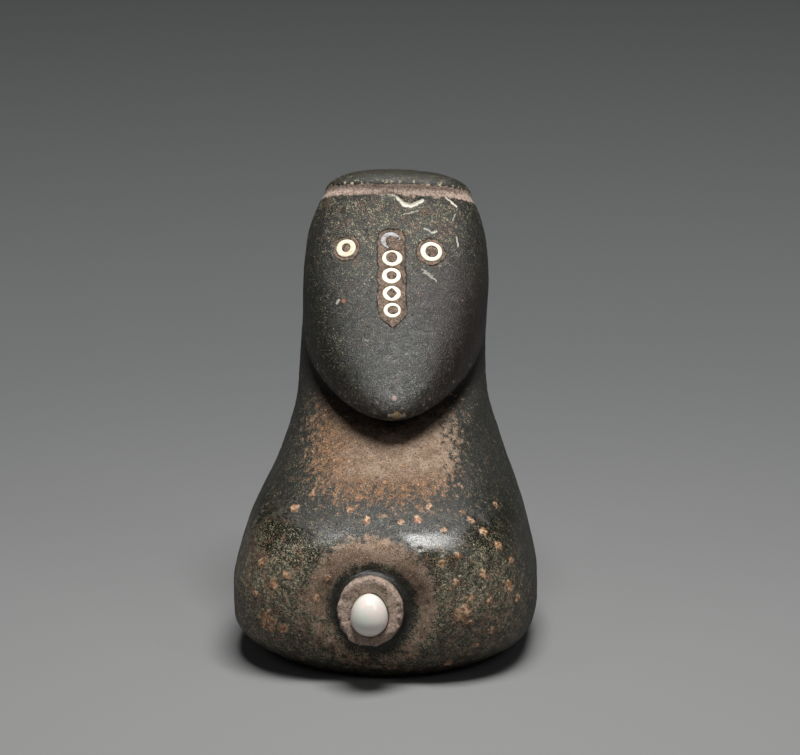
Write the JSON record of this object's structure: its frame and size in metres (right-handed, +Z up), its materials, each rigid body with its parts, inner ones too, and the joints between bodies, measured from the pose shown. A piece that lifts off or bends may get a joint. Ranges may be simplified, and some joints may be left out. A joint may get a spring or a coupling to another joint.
{
  "type": "stone pelican effigy",
  "caption": "Carved stone effigy of a resting pelican with its bill on its breast, a grooved cap, shell-bead inlay down the bill and a pearl set in a boss on the belly.",
  "frame": {"origin": "middle of the flat underside, on the surface that it stands on", "axes": "+Z up, the bill and boss towards -Y, +X to the right of someone facing the front"},
  "size_m": [0.069, 0.0881, 0.1033],
  "materials": {
    "stone": "dark green-black speckled stone, hand polished on the high places and worn pinkish-brown in the hollows",
    "pearl": "silvery white nacre",
    "shell": "smooth ivory-white shell",
    "worn_shell": "worn greyish shell",
    "mastic": "rough dull brown mastic"
  },
  "bodies": {
    "root": {"stone_body": "stone", "pearl": "pearl", "eye_bead_left": "shell", "eye_bead_right": "shell", "bill_bead_1": "worn_shell", "bill_bead_2": "shell", "bill_bead_3": "shell", "bill_bead_4": "shell", "bill_bead_5": "shell", "eye_mastic_left": "mastic", "eye_mastic_right": "mastic", "bill_channel_mastic": "mastic"}
  },
  "joints": []
}
